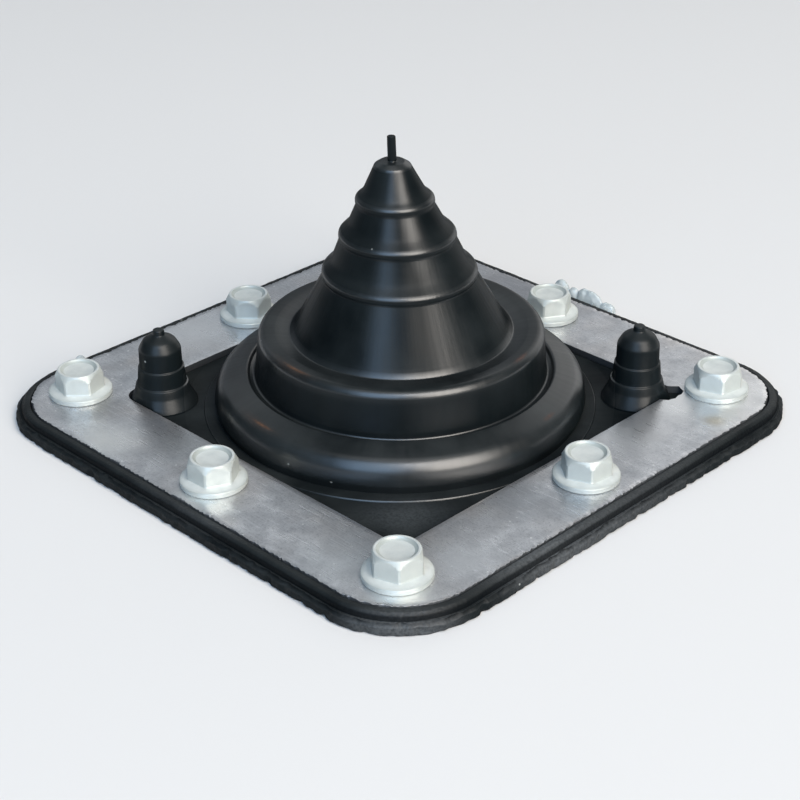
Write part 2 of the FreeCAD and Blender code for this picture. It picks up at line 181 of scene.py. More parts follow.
def square_reach(turns: Array, half: float, corner: float) -> Array:
    """Measure how far a rounded square reaches from its middle.

    Args:
        turns: The directions, in radians.
        half: Half the square's side.
        corner: The radius of its corners.

    Returns:
        The reach in each direction.
    """
    across, up = np.abs(np.cos(turns)), np.abs(np.sin(turns))
    flat = half / np.maximum(across, up)
    middle = half - corner
    along = middle * (across + up)
    beside = np.maximum(along**2 - 2 * middle**2 + corner**2, 0.0)
    rounded = along + np.sqrt(beside)
    return np.where(np.minimum(across, up) * flat > middle, rounded, flat)


def ramp(value: float, start: float, over: float) -> float:
    """Return how far a value has come from a start, as a share of a distance, held from 0 to 1."""
    return min(1.0, max(0.0, (value - start) / over))


def wander(point: Vector, size: float, seed: float) -> float:
    """Return a smooth irregular value from about -1 to 1 that changes over a size in millimetres."""
    return noise.noise(point / size + Vector((seed, seed * 1.7, seed * 2.3)))


def new_mesh(name: str, mesh: Mesh) -> bpy.types.Mesh:
    """Write vertices and faces into a mesh of Blender's."""
    data = bpy.data.meshes.new(name)
    data.from_pydata([tuple(vertex) for vertex in mesh[0]], [], mesh[1])
    data.validate()
    return data


def placed(name: str, data: bpy.types.ID) -> bpy.types.Object:
    """Make an object of some data and put it in the scene."""
    made = bpy.data.objects.new(name, data)
    bpy.context.scene.collection.objects.link(made)
    return made


def evaluated(shape: bpy.types.Object) -> Mesh:
    """Return the mesh that an object's modifiers make of it."""
    result = bpy.data.meshes.new_from_object(shape.evaluated_get(bpy.context.evaluated_depsgraph_get()))
    vertices = np.array([tuple(vertex.co) for vertex in result.vertices])
    return vertices, [tuple(face.vertices) for face in result.polygons]


def worked(base: Mesh, tools: Sequence[tuple[Joining, Mesh]]) -> Mesh:
    """Add closed meshes to a closed mesh, or cut them from it.

    Args:
        base: The mesh that is worked.
        tools: The other meshes in order, each with how it is worked in.

    Returns:
        The vertices and the faces of the result.
    """
    shapes = [placed("working", new_mesh("working", base))]
    for joining, tool in tools:
        shapes.append(placed("tool", new_mesh("tool", tool)))
        step = shapes[0].modifiers.new("join", "BOOLEAN")
        step.operation = joining.value
        step.solver = "MANIFOLD"
        step.object = shapes[-1]
    result = evaluated(shapes[0])
    for shape in shapes:
        bpy.data.objects.remove(shape)
    return result


def piece(name: str, mesh: Mesh, material: bpy.types.Material, crease: float = 38.0) -> bpy.types.Object:
    """Turn a mesh into a piece of the object, in metres.

    Args:
        name: The piece's name.
        mesh: Its vertices in millimetres, and its faces.
        material: Its finish.
        crease: The turn between two faces above which their edge stays sharp, in degrees.

    Returns:
        The new object.
    """
    data = new_mesh(name, (mesh[0] * MILLIMETRE, mesh[1]))
    data.shade_smooth()
    data.set_sharp_from_angle(angle=math.radians(crease))
    data.materials.append(material)
    return placed(name, data)


def linear(colour: str) -> tuple[float, float, float, float]:
    """Turn an sRGB hex colour such as #8090a0 into the linear values that the shaders take."""
    shares = [int(colour[place : place + 2], 16) / 255 for place in (1, 3, 5)]
    turned = [s / 12.92 if s <= 0.04045 else ((s + 0.055) / 1.055) ** 2.4 for s in shares]
    return (turned[0], turned[1], turned[2], 1.0)


def add_node(
    tree: bpy.types.NodeTree,
    kind: str,
    inputs: dict[int | str, Any],
    output: int | str = 0,
    **settings: Any,
) -> Socket:
    """Add a node with its settings, values and links.

    Args:
        tree: The node tree.
        kind: The node's type, without its common beginning.
        inputs: What each input takes: a value, or the output that links to it.
        output: The output that is wanted.
        **settings: The node's own options.

    Returns:
        The wanted output.
    """
    node = tree.nodes.new("ShaderNode" + kind)
    for name, choice in settings.items():
        setattr(node, name, choice)
    for name, given in inputs.items():
        if isinstance(given, bpy.types.NodeSocket):
            tree.links.new(given, node.inputs[name])
        else:
            node.inputs[name].default_value = given
    return node.outputs[output] if len(node.outputs) else None


def new_material(name: str) -> tuple[bpy.types.Material, Adder, Socket]:
    """Start an empty material.

    Args:
        name: The material's name.

    Returns:
        The material, what adds its nodes, and the place on the object in millimetres.
    """
    material = bpy.data.materials.new(name)
    material.use_nodes = True
    material.node_tree.nodes.clear()
    add = partial(add_node, material.node_tree)
    coordinates = add("TexCoord", {}, "Object")
    place = add("VectorMath", {0: coordinates, "Scale": 1 / MILLIMETRE}, operation="SCALE")
    return material, add, place


def facing_up(add: Adder) -> Socket:
    """Return how far the surface faces up, from 1 for a level one to 0 for an upright one."""
    normal = add("NewGeometry", {}, "Normal")
    return add("SeparateXYZ", {"Vector": normal}, "Z")


def soft_spot(add: Adder, place: Socket, middle: Sequence[float], reach: float, strength: float) -> Socket:
    """Make a soft round spot.

    Args:
        add: What adds the nodes.
        place: The place on the object.
        middle: The spot's middle.
        reach: How far from there it fades out.
        strength: How strongly its middle shows.

    Returns:
        How strongly the spot shows at the place.
    """
    away = add("VectorMath", {0: place, 1: middle}, "Value", operation="DISTANCE")
    return add(
        "MapRange", {"Value": away, "From Min": reach, "From Max": 0.0, "To Max": strength},
        interpolation_type="SMOOTHSTEP",
    )


def closeness(
    add: Adder, value: Socket, middle: Socket | float, reach: tuple[float, float], full: float,
    fall: str = "SMOOTHSTEP",
) -> Socket:
    """Measure how close a value is to a middle one.

    Args:
        add: What adds the nodes.
        value: The value.
        middle: The value that it is held against.
        reach: How far off nothing shows, and how far off all does.
        full: The share that is returned when it is close.
        fall: How the share falls off between the two distances.

    Returns:
        The share.
    """
    off = add("Math", {0: value, 1: middle}, operation="SUBTRACT")
    far = add("Math", {0: off}, operation="ABSOLUTE")
    return add(
        "MapRange", {"Value": far, "From Min": reach[0], "From Max": reach[1], "To Max": full},
        interpolation_type=fall,
    )


@dataclass(frozen=True)
class Wash:
    """A streak round the axis, of dirt, or of dust and painted light for the pale ones: its turn in
    degrees, its circle, its half sizes and its colour.
    """

    turn: float
    radius: float
    level: float
    long: float
    wide: float
    strength: float
    dirt_and_painted_light: str = "#7a3f1c"


@dataclass(frozen=True)
class MouldedRubber:
    """EPDM rubber, compression moulded: satin black, with the mould's faint streaks, some pale dust, pale
    washes that are partly painted light, and painted shade on the bead's side.
    """

    black: str = "#0b1012"
    greyed: str = "#13191b"
    dust: str = "#a9adaa"
    smooth: float = 0.30
    rough: float = 0.42
    cloud_size: float = 9.0
    grain_size: float = 0.45
    # The streaks' width at this radius, and how much they are drawn out up the wall
    streak_width: float = 0.7
    wall_radius: float = 20.0
    streak_draw: float = 0.09
    speck_spacing: float = 5.0
    speck_size: float = 0.055
    # Specks lie only where a broad pattern of this size is above this value.
    speck_field: float = 11.0
    speck_start: float = 0.60
    washes: tuple[Wash, ...] = (
        Wash(-92.0, 24.9, 18.0, 4.8, 0.5, 0.5, "#7d5233"),
        Wash(-95.0, 25.1, 17.9, 9.0, 1.6, 0.16, "#5d4636"),
        Wash(-94.5, 31.8, 8.8, 3.6, 0.45, 0.5, "#7d5233"),
        Wash(-97.0, 31.9, 8.8, 8.0, 1.5, 0.16, "#5d4636"),
        Wash(13.0, 25.4, 17.9, 3.2, 0.7, 0.2), Wash(10.0, 32.2, 8.7, 2.6, 0.6, 0.2),
        # Pale washes on the sheet at the front and along the right side of the rim are partly dust and
        # partly painted light: a painted reflection of the lit roll on the front of the sheet, and painted
        # light from the key window on the rim.
        Wash(-44.0, 41.0, 2.4, 13.0, 8.0, 0.07, "#b9c0c4"),
        Wash(-22.0, 60.0, 3.0, 26.0, 7.0, 0.11, "#b9bdc0"),
        Wash(-6.0, 57.0, 3.0, 34.0, 8.0, 0.12, "#b9bdc0"),
        Wash(-84.0, 54.5, 3.4, 24.0, 3.0, 0.05, "#b9bdc0"),
        Wash(-45.0, 71.0, 1.0, 18.0, 5.0, 0.15, "#b9bdc0"),
    )
    # Where the rim begins, and the level of its bead's upright side, with the colour of the painted shade
    # on that side
    rim_start: float = 49.0
    bead_side: float = 2.65
    painted_bead_shade: str = "#04070a"
    # The rolled foot reaches less far than this, and its underside is below this level.
    roll_reach: float = 40.0
    roll_under: float = 8.9
    sheet_top: float = 2.9
    # Above this level the cone's faces are duller: handling wiped the release film off them.
    film_top: float = 17.6
    # The levels of the edges that kept it: the three steps and the tip
    ledges: tuple[float, ...] = (29.15, 36.25, 42.85, 49.7)
    # The bands of gloss: their turns low down and at the tip, their half widths and their strengths
    bands: tuple[tuple[float, float, float, float], ...] = (
        (-58.0, -56.0, 15.0, 0.55), (-10.0, -35.0, 21.0, 0.82),
    )
    band_levels: tuple[float, float] = (32.0, 46.0)
    wiped_gloss: float = 0.22

    def material(self) -> bpy.types.Material:
        """Make the rubber's material.

        Returns:
            The material.
        """
        material, add, place = new_material("epdm_rubber_moulded")
        cloud = add("TexNoise", {"Vector": place, "Scale": 1 / self.cloud_size, "Detail": 4.0})
        # The polished mould left upright streaks: the grain is fine round the axis and long up the wall.
        x, y, z = (add("SeparateXYZ", {"Vector": place}, axis) for axis in "XYZ")
        turn = add("Math", {0: y, 1: x}, operation="ARCTAN2")
        around = add("Math", {0: turn, 1: self.wall_radius / self.streak_width}, operation="MULTIPLY")
        up = add("Math", {0: z, 1: self.streak_draw}, operation="MULTIPLY")
        wall = add("CombineXYZ", {"X": around, "Z": up})
        streaks = add("TexNoise", {"Vector": wall, "Scale": 1.0, "Detail": 3.0})
        grain = add("TexNoise", {"Vector": place, "Scale": 1 / self.grain_size, "Detail": 3.0})
        # Dust settles where the surface faces up, in soft patches.
        facing = facing_up(add)
        upward = add("MapRange", {"Value": facing, "From Min": 0.2, "From Max": 1.0, "To Max": 0.035})
        patches = add("MapRange", {"Value": cloud, "From Min": 0.3, "From Max": 0.8, "To Max": 1.0})
        film = add("Math", {0: upward, 1: patches}, operation="MULTIPLY")
        # Single specks of pale grit
        cells = add("TexVoronoi", {"Vector": place, "Scale": 1 / self.speck_spacing}, "Distance")
        size = {"From Min": self.speck_size, "From Max": self.speck_size * 0.4}
        near = add("MapRange", {"Value": cells, "To Max": 0.75, **size})
        scatter = add("TexNoise", {"Vector": place, "Scale": 1 / self.speck_field, "Detail": 1.0})
        sparse = add("Math", {0: scatter, 1: self.speck_start}, operation="GREATER_THAN")
        speck = add("Math", {0: near, 1: sparse}, operation="MULTIPLY")
        dirt_and_painted_light = add("Math", {0: film, 1: speck}, operation="MAXIMUM")
        tone = add("Mix", {0: patches, 6: linear(self.black), 7: linear(self.greyed)}, 2, data_type="RGBA")
        covered: Socket | float = 0.0
        flat = add("CombineXYZ", {"X": x, "Y": y})
        radius = add("VectorMath", {0: flat}, "Value", operation="LENGTH")
        # Streaks of dirt, and pale washes that are partly dust and partly painted light
        for wash in self.washes:
            squeeze = wash.radius * wash.wide / wash.long
            run = add("Math", {0: turn, 1: squeeze}, operation="MULTIPLY")
            unrolled = add("CombineXYZ", {"X": run, "Y": radius, "Z": z})
            middle = (math.radians(wash.turn) * squeeze, wash.radius, wash.level)
            fade = soft_spot(add, unrolled, middle, wash.wide, wash.strength)
            broken = add("MapRange", {"Value": grain, "From Min": 0.3, "From Max": 0.6, "To Min": 0.45})
            laid = add("Math", {0: fade, 1: broken}, operation="MULTIPLY")
            covered = add("Math", {0: covered, 1: fade}, operation="ADD")
            tone = add("Mix", {0: laid, 6: tone, 7: linear(wash.dirt_and_painted_light)}, 2, data_type="RGBA")
        colour = add("Mix", {0: dirt_and_painted_light, 6: tone, 7: linear(self.dust)}, 2, data_type="RGBA")
        mixed = add("Math", {0: cloud, 1: streaks}, operation="ADD")
        finish = {"To Min": self.smooth, "To Max": self.rough}
        roughness = add("MapRange", {"Value": mixed, "From Min": 0.75, "From Max": 1.25, **finish})
        lines = add("Bump", {"Height": streaks, "Strength": 0.25, "Distance": 0.05 * MILLIMETRE})
        # The rim was moulded against a rough part of the mould, and weathered.
        across, along = (add("Math", {0: part}, operation="ABSOLUTE") for part in (x, y))
        reach = add("Math", {0: across, 1: along}, operation="MAXIMUM")
        rim = add("MapRange", {"Value": reach, "From Min": self.rim_start, "From Max": self.rim_start + 1})
        coarse = add("MapRange", {"Value": rim, "To Min": 0.3, "To Max": 0.9})
        deep = add("MapRange", {"Value": rim, "To Min": 0.02 * MILLIMETRE, "To Max": 0.11 * MILLIMETRE})
        bumped = add("Bump", {"Height": grain, "Strength": coarse, "Distance": deep, "Normal": lines})
        # Painted shade: the bead's upright side round the frame is painted darkest, where neither the sky
        # nor the dust reaches it.
        painted_shade_share = closeness(add, z, self.bead_side, (0.95, 0.35), 0.82)
        tucked = add("MapRange", {"Value": facing, "From Min": 0.9, "From Max": 0.7})
        for share in (tucked, rim):
            painted_shade_share = add("Math", {0: painted_shade_share, 1: share}, operation="MULTIPLY")
        colour = add("Mix", {0: painted_shade_share, 6: colour, 7: linear(self.painted_bead_shade)}, 2, data_type="RGBA")
        # The thin film of mould release gives the rounded edges their gloss: the roll's outer side, the
        # drum's shoulder and the edges of the steps. Drawing the part from the mould dulled the
        # upright walls.
        kept = add("MapRange", {"Value": z, "From Min": self.film_top + 0.8, "From Max": self.film_top})
        for level in self.ledges:
            ledge = closeness(add, z, level, (0.9, 0.5), 0.9, "LINEAR")
            kept = add("Math", {0: kept, 1: ledge}, operation="MAXIMUM")
        tilted = add("MapRange", {"Value": facing, "From Min": 0.12, "From Max": 0.32})
        under = add(
            "MapRange", {"Value": z, "From Min": self.roll_under, "From Max": self.roll_under - 0.5}
        )
        inside = add("Math", {0: radius, 1: self.roll_reach}, operation="LESS_THAN")
        roll = add("Math", {0: under, 1: inside}, operation="MULTIPLY")
        rounded = add("Math", {0: tilted, 1: roll}, operation="MAXIMUM")
        tipped = add(
            "MapRange", {"Value": facing, "From Min": 0.86, "From Max": 0.97, "To Min": 1.0, "To Max": 0.2}
        )
        clean = add("MapRange", {"Value": covered, "From Max": 0.45, "To Min": 1.0, "To Max": 0.0})
        # Seen along the surface, the bloom on the rubber hides its gloss.
        slant = add("LayerWeight", {"Blend": 0.5}, "Facing")
        bloom = add(
            "MapRange", {"Value": slant, "From Min": 0.45, "From Max": 0.8, "To Min": 1.0, "To Max": 0.08}
        )
        # The flat sheet inside the frame is dull: it holds more dust than the shapes above it.
        low = add("Math", {0: z, 1: self.sheet_top}, operation="LESS_THAN")
        even = add("MapRange", {"Value": facing, "From Min": 0.95, "From Max": 0.99})
        sheet = add("Math", {0: low, 1: even}, operation="MULTIPLY")
        above = add("Math", {0: 1.0, 1: sheet}, operation="SUBTRACT")
        film_left = bloom
        for share in (kept, rounded, tipped, above, clean, inside):
            film_left = add("Math", {0: film_left, 1: share}, operation="MULTIPLY")
        # On the cone's lengths and the upright walls only a little gloss is left, in two upright bands.
        wiped: Socket | float = self.wiped_gloss
        bottom, top = self.band_levels
        for low_turn, tip_turn, half, strength in self.bands:
            ends = {"To Min": math.radians(low_turn), "To Max": math.radians(tip_turn)}
            middle = add("MapRange", {"Value": z, "From Min": bottom, "From Max": top, **ends})
            band = closeness(add, turn, middle, (math.radians(half), 0.0), strength)
            wiped = add("Math", {0: wiped, 1: band}, operation="ADD")
        upright = add(
            "MapRange", {"Value": facing, "From Min": 0.1, "From Max": 0.35, "To Min": 0.3, "To Max": 1.0}
        )
        lower = add("Math", {0: upright, 1: roll}, operation="MAXIMUM")
        handled = add("Mix", {0: kept, 2: wiped, 3: lower}, 0)
        shaded = add("MapRange", {"Value": painted_shade_share, "To Min": 0.6, "To Max": 0.1})
        outside = add("Mix", {0: inside, 2: shaded, 3: 1.0}, 0)
        handled = add("Math", {0: handled, 1: outside}, operation="MULTIPLY")
        sheen = add("MapRange", {"Value": above, "To Min": 0.16, "To Max": 0.5})
        gloss = add("Math", {0: sheen, 1: bloom}, operation="MULTIPLY")
        gloss = add("Math", {0: gloss, 1: handled}, operation="MULTIPLY")
        dulled = add("MapRange", {"Value": above, "To Min": 0.24, "To Max": 0.0})
        worn = add("Math", {0: rim, 1: 0.12}, operation="MULTIPLY")
        dulled = add("Math", {0: dulled, 1: worn}, operation="ADD")
        rougher = add("Math", {0: roughness, 1: dulled}, operation="ADD")
        shader = add(
            "BsdfPrincipled",
            {
                "Base Color": colour, "Roughness": rougher, "IOR": 1.5, "Specular IOR Level": gloss,
                "Coat Weight": film_left, "Coat Roughness": 0.30, "Coat IOR": 1.5, "Normal": bumped,
                "Coat Normal": lines,
            },
        )
        add("OutputMaterial", {"Surface": shader})
        return material


@dataclass(frozen=True)
class Patch:
    """A soft patch on the sheet: its place, its reach, its colour and how strongly it shows."""

    x: float
    y: float
    reach: float
    colour: str
    strength: float


@dataclass(frozen=True)
class MillAluminium:
    """Aluminium sheet, mill finish: greyed and mottled, in patches, with a web of fine scratches."""

    pale: str = "#dcdde0"
    dull: str = "#bdbfc3"
    smooth: float = 0.22
    rough: float = 0.42
    grain_size: float = 0.28
    tint_size: float = 11.0
    fleck_spacing: float = 2.6
    mottle_size: float = 4.5
    line_width: float = 0.35
    warm_tint: str = "#cdc4be"
    pit_shade: str = "#83878b"
    fleck_tone: str = "#ffffff"
    scratch_tone: str = "#e4e5e8"
    edge_shade: str = "#3c4043"
    top: float = 3.8
    # Each lay of scratches: its turn in degrees and how strongly it shows
    lays: tuple[tuple[float, float], ...] = (
        (8.0, 0.7), (52.0, 0.8), (-37.0, 0.8), (83.0, 0.6), (27.0, 0.6),
    )
    # Soft patches at given places make some parts of the top darker and others lighter; one is a brownish
    # stain.
    patches: tuple[Patch, ...] = (
        Patch(-12.0, -38.0, 12.0, "#8f9496", 0.6), Patch(43.0, -12.0, 12.0, "#9ba0a6", 0.6),
        Patch(-47.0, 18.0, 22.0, "#a0a3a9", 0.35), Patch(-47.0, -10.0, 16.0, "#eef1f4", 0.7),
        Patch(-13.0, 47.0, 26.0, "#8e9096", 0.75), Patch(-35.0, -41.0, 8.0, "#8f9090", 0.5),
        Patch(48.0, 42.0, 20.0, "#f6f6f4", 0.6), Patch(40.0, 18.0, 12.0, "#eceef0", 0.85),
        Patch(46.0, -33.0, 9.0, "#eceff2", 0.6), Patch(33.0, -46.0, 12.0, "#e6ebee", 0.5),
        Patch(48.5, 32.0, 3.2, "#b09a70", 0.55), Patch(2.0, -50.5, 7.0, "#f3f5f3", 0.9),
        Patch(-25.0, -49.0, 10.0, "#f2f3f1", 0.8), Patch(48.0, -48.0, 10.0, "#f4f4f2", 0.95),
        Patch(40.0, 32.0, 10.0, "#f2f3f3", 0.75),
    )

    def material(self) -> bpy.types.Material:
        """Make the sheet's material.

        Returns:
            The material.
        """
        material, add, place = new_material("aluminium_sheet_mill_finish")
        mottle = add(
            "TexNoise",
            {"Vector": place, "Scale": 1 / self.mottle_size, "Detail": 5.0, "Roughness": 0.62},
        )
        scratched: Socket | float = 0.0
        for turn, strength in self.lays:
            # A scratch is long and a few tenths of a millimetre wide, drawn wider than life to show.
            spread = {"Rotation": (0.0, 0.0, math.radians(turn)), "Scale": (0.16, 1 / self.line_width, 0.1)}
            laid = add("Mapping", {"Vector": place, **spread})
            threads = add("TexNoise", {"Vector": laid, "Scale": 1.0, "Detail": 2.0, "Distortion": 0.3})
            marks = add(
                "MapRange", {"Value": threads, "From Min": 0.6, "From Max": 0.72, "To Max": strength}
            )
            scratched = add("Math", {0: scratched, 1: marks}, operation="MAXIMUM")
        tone = add("MapRange", {"Value": mottle, "From Min": 0.34, "From Max": 0.66})
        colour = add("Mix", {0: tone, 6: linear(self.dull), 7: linear(self.pale)}, 2, data_type="RGBA")
        tint = add("TexNoise", {"Vector": place, "Scale": 1 / self.tint_size, "Detail": 3.0})
        warm = add("MapRange", {"Value": tint, "From Min": 0.45, "From Max": 0.65, "To Max": 0.35})
        grain = add(
            "TexNoise", {"Vector": place, "Scale": 1 / self.grain_size, "Detail": 3.0, "Roughness": 0.6}
        )
        pits = add("MapRange", {"Value": grain, "From Min": 0.5, "From Max": 0.3, "To Max": 0.5})
        cells = add("TexVoronoi", {"Vector": place, "Scale": 1 / self.fleck_spacing}, "Distance")
        flecks = add("MapRange", {"Value": cells, "From Min": 0.10, "From Max": 0.05, "To Max": 0.8})
        layers = [(warm, self.warm_tint), (pits, self.pit_shade), (flecks, self.fleck_tone)]
        for patch in self.patches:
            spot = soft_spot(add, place, (patch.x, patch.y, self.top), patch.reach, patch.strength)
            layers.append((spot, patch.colour))
        lighter = add("Math", {0: scratched, 1: 0.35}, operation="MULTIPLY")
        # The sheared edges, picked out by the way they face, are painted dark and made duller, so they
        # don't flash between the teeth.
        facing = facing_up(add)
        sheared = add("MapRange", {"Value": facing, "From Min": 0.9, "From Max": 0.6, "To Max": 0.94})
        for share, shade in (*layers, (lighter, self.scratch_tone), (sheared, self.edge_shade)):
            colour = add("Mix", {0: share, 6: colour, 7: linear(shade)}, 2, data_type="RGBA")
        worn = add("Math", {0: tone, 1: scratched}, operation="ADD")
        finish = {"To Min": self.rough, "To Max": self.smooth}
        polish = add("MapRange", {"Value": worn, "From Min": 0.0, "From Max": 1.6, **finish})
        dulling_and_painted_shade = add("Math", {0: sheared, 1: 0.4}, operation="MULTIPLY")
        roughness = add("Math", {0: polish, 1: dulling_and_painted_shade}, operation="ADD")
        cut = add(
            "Bump",
            {"Height": scratched, "Strength": 0.35, "Distance": 0.03 * MILLIMETRE},
            invert=True,
        )
        pitted = add(
            "Bump", {"Height": grain, "Strength": 0.25, "Distance": 0.02 * MILLIMETRE, "Normal": cut}
        )
        uneven = add(
            "Bump", {"Height": mottle, "Strength": 0.25, "Distance": 0.12 * MILLIMETRE, "Normal": pitted}
        )
        shader = add(
            "BsdfPrincipled",
            {"Base Color": colour, "Metallic": 0.9, "Roughness": roughness, "Normal": uneven},
        )
        add("OutputMaterial", {"Surface": shader})
        return material


@dataclass(frozen=True)
class PlatedSteel:
    """Steel screw, mechanically zinc plated: a chalky pale coat that scatters more light than metal."""

    pale: str = "#d3d7d3"
    dull: str = "#c5cac7"
    # The colour of the painted shade on the bevel and the flats
    dulling_and_painted_shade: str = "#a9b0ab"
    mottle_size: float = 2.2
    grain_size: float = 0.3
    smooth: float = 0.36
    rough: float = 0.5

    def material(self) -> bpy.types.Material:
        """Make the plating's material.

        Returns:
            The material.
        """
        material, add, place = new_material("steel_zinc_plated")
        mottle = add("TexNoise", {"Vector": place, "Scale": 1 / self.mottle_size, "Detail": 4.0})
        grain = add("TexNoise", {"Vector": place, "Scale": 1 / self.grain_size, "Detail": 2.0})
        tone = add("MapRange", {"Value": mottle, "From Min": 0.3, "From Max": 0.6})
        colour = add("Mix", {0: tone, 6: linear(self.dull), 7: linear(self.pale)}, 2, data_type="RGBA")
        # Painted shade: the bevel is painted darkest and the upright flats a little darker, by the way they
        # face, so the head's top stays the palest.
        facing = facing_up(add)
        bevel = add("MapRange", {"Value": facing, "From Min": 0.98, "From Max": 0.85, "To Max": 0.8})
        flats = add("MapRange", {"Value": facing, "From Min": 0.6, "From Max": 0.4, "To Max": 0.25})
        dulling_and_painted_shade = add("Math", {0: bevel, 1: flats}, operation="SUBTRACT")
        colour = add("Mix", {0: dulling_and_painted_shade, 6: colour, 7: linear(self.dulling_and_painted_shade)}, 2, data_type="RGBA")
        finish = {"To Min": self.rough, "To Max": self.smooth}
        roughness = add("MapRange", {"Value": mottle, "From Min": 0.3, "From Max": 0.7, **finish})
        bumped = add("Bump", {"Height": grain, "Strength": 0.3, "Distance": 0.02 * MILLIMETRE})
        shader = add(
            "BsdfPrincipled",
            {"Base Color": colour, "Metallic": 0.28, "Roughness": roughness, "Normal": bumped},
        )
        add("OutputMaterial", {"Surface": shader})
        return material


@dataclass(frozen=True)
class ClearSilicone:
    """Silicone sealant, cured in the open: clear and glassy, a little clouded inside."""

    tint: str = "#e6edee"
    clouded: str = "#cfdadb"
    cloud_size: float = 1.4

    def material(self) -> bpy.types.Material:
        """Make the sealant's material.

        Returns:
            The material.
        """
        material, add, place = new_material("silicone_clear_cured")
        cloud = add("TexNoise", {"Vector": place, "Scale": 1 / self.cloud_size, "Detail": 3.0})
        roughness = add(
            "MapRange", {"Value": cloud, "From Min": 0.3, "From Max": 0.7, "To Min": 0.08, "To Max": 0.3}
        )
        colour = add("Mix", {0: cloud, 6: linear(self.tint), 7: linear(self.clouded)}, 2, data_type="RGBA")
        bumped = add("Bump", {"Height": cloud, "Strength": 0.4, "Distance": 0.15 * MILLIMETRE})
        shader = add(
            "BsdfPrincipled",
            {
                "Base Color": colour, "Roughness": roughness, "IOR": 1.41,
                "Transmission Weight": 0.45, "Normal": bumped,
            },
        )
        add("OutputMaterial", {"Surface": shader})
        return material


@dataclass(frozen=True)
class PaintedBoard:
    """The floor's painted board: plain matt white."""

    white: str = "#dddcda"

    def material(self) -> bpy.types.Material:
        """Make the board's material.

        Returns:
            The material.
        """
        material, add, _ = new_material("board_painted_white")
        shader = add("BsdfPrincipled", {"Base Color": linear(self.white), "Roughness": 0.9})
        add("OutputMaterial", {"Surface": shader})
        return material


@dataclass(frozen=True)
class MouldedStep:
    """One step of the cone, where it can be cut to fit a pipe."""

    radius: float
    level: float
    flare: float
    flare_rise: float

    def corners(self) -> list[Corner]:
        """Return the step's corners, from its undercut up to the foot of the next length."""
        return [
            Corner(self.radius - 0.12, self.level - 0.35, 0.8),
            Corner(self.radius, self.level + 0.1, 0.6),
            Corner(self.radius - 0.02, self.level + 0.9, 1.2),
            Corner(self.radius - self.flare, self.level + self.flare_rise, 3.0),
        ]


